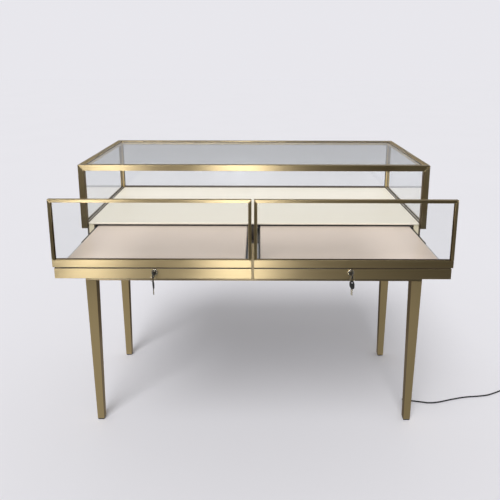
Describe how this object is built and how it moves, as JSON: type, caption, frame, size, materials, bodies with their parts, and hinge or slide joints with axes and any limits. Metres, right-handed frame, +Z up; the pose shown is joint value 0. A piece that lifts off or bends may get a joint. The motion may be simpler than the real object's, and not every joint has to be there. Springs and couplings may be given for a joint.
{
  "type": "tiered jewelry counter",
  "caption": "Free-standing jewelry counter in brushed gold metal: a glass case over pull-out show drawers with glazed fronts, locks and lined trays, on tapered legs.",
  "frame": {"origin": "on the floor under the middle of the counter, with both drawers pulled out as in the picture and a key in each lock", "axes": "+X along the counter to the right seen from the sales side, +Y away from the sales side, so the drawers pull out along -Y, +Z up"},
  "size_m": [1.7694, 0.9306, 0.99],
  "materials": {
    "brushed_gold": "brushed, gold-coloured stainless steel",
    "gold_panel": "board faced with brushed gold-coloured sheet",
    "dark_board": "dark laminated board",
    "clear_glass": "clear, polished edges",
    "cream_leatherette": "fine grained leatherette over board",
    "beige_lining": "short napped lining over board",
    "zinc_steel": "bright zinc",
    "dark_steel": "black coated",
    "nickel": "nickel plated",
    "black_plastic": "moulded",
    "light_diffuser": "opal diffuser in an aluminium channel",
    "driver_case": "moulded",
    "cord_rubber": "matt black sheath"
  },
  "bodies": {
    "counter": {"leg_front_left": "brushed_gold", "leg_front_right": "brushed_gold", "leg_rear_left": "brushed_gold", "leg_rear_right": "brushed_gold", "foot_pad_front_left": "black_plastic", "foot_pad_front_right": "black_plastic", "foot_pad_rear_left": "black_plastic", "foot_pad_rear_right": "black_plastic", "apron_front": "gold_panel", "apron_rear": "gold_panel", "apron_left": "gold_panel", "apron_right": "gold_panel", "base_board": "gold_panel", "light_driver": "driver_case", "compartment_side_left": "gold_panel", "compartment_side_right": "gold_panel", "centre_divider": "dark_board", "compartment_rear": "gold_panel", "display_deck": "cream_leatherette", "end_frame_left": "brushed_gold", "end_frame_right": "brushed_gold", "top_rail_front": "brushed_gold", "top_rail_rear": "brushed_gold", "glass_top": "clear_glass", "glass_left": "clear_glass", "glass_right": "clear_glass", "glass_rear": "clear_glass", "light_bar": "light_diffuser", "strain_relief": "cord_rubber", "power_cord": "cord_rubber", "power_cord_coil": "cord_rubber", "power_plug": "cord_rubber"},
    "drawer_left": {"front_frame_left": "brushed_gold", "front_glass_left": "clear_glass", "lock_rail_left": "brushed_gold", "tray_left": "dark_board", "tray_pad_left": "beige_lining", "slide_inner_left_outer": "zinc_steel", "slide_inner_left_inner": "zinc_steel", "lock_body_left": "nickel"},
    "drawer_right": {"front_frame_right": "brushed_gold", "front_glass_right": "clear_glass", "lock_rail_right": "brushed_gold", "tray_right": "dark_board", "tray_pad_right": "beige_lining", "slide_inner_right_outer": "zinc_steel", "slide_inner_right_inner": "zinc_steel", "lock_body_right": "nickel"},
    "slides_left": {"slide_middle_left_outer": "dark_steel", "slide_middle_left_inner": "dark_steel"},
    "slides_right": {"slide_middle_right_outer": "dark_steel", "slide_middle_right_inner": "dark_steel"},
    "key_plug_left": {"lock_plug_left": "nickel", "key_left": "black_plastic"},
    "key_plug_right": {"lock_plug_right": "nickel", "key_right": "black_plastic"},
    "key_ring_left": {"split_ring_left": "nickel", "spare_key_left": "black_plastic"},
    "key_ring_right": {"split_ring_right": "nickel", "spare_key_right": "black_plastic"}
  },
  "joints": [
    {"name": "drawer_left_pull", "type": "slide", "parent": "counter", "child": "drawer_left", "axis": [0, -1, 0], "range_m": [-0.342, 0.05]},
    {"name": "drawer_right_pull", "type": "slide", "parent": "counter", "child": "drawer_right", "axis": [0, -1, 0], "range_m": [-0.342, 0.05]},
    {"name": "slides_left_run", "type": "slide", "parent": "counter", "child": "slides_left", "axis": [0, -1, 0], "range_m": [-0.171, 0.025]},
    {"name": "slides_right_run", "type": "slide", "parent": "counter", "child": "slides_right", "axis": [0, -1, 0], "range_m": [-0.171, 0.025]},
    {"name": "key_left_turn", "type": "hinge", "parent": "drawer_left", "child": "key_plug_left", "pos_m": [-0.28125, -0.42699, 0.7475], "axis": [0, 1, 0], "range_deg": [0, 90]},
    {"name": "key_right_turn", "type": "hinge", "parent": "drawer_right", "child": "key_plug_right", "pos_m": [0.28125, -0.42699, 0.7475], "axis": [0, 1, 0], "range_deg": [0, 90]},
    {"name": "key_ring_left_swing", "type": "hinge", "parent": "key_plug_left", "child": "key_ring_left", "pos_m": [-0.28125, -0.45449, 0.7453], "axis": [0.9397, 0.342, 0], "range_deg": [-60, 20]},
    {"name": "key_ring_right_swing", "type": "hinge", "parent": "key_plug_right", "child": "key_ring_right", "pos_m": [0.28125, -0.45449, 0.7453], "axis": [0.8988, 0.4384, 0], "range_deg": [-60, 20]}
  ],
  "couplings": [
    {"joint": "slides_left_run", "follows": "drawer_left_pull", "ratio": 0.5},
    {"joint": "slides_right_run", "follows": "drawer_right_pull", "ratio": 0.5}
  ]
}
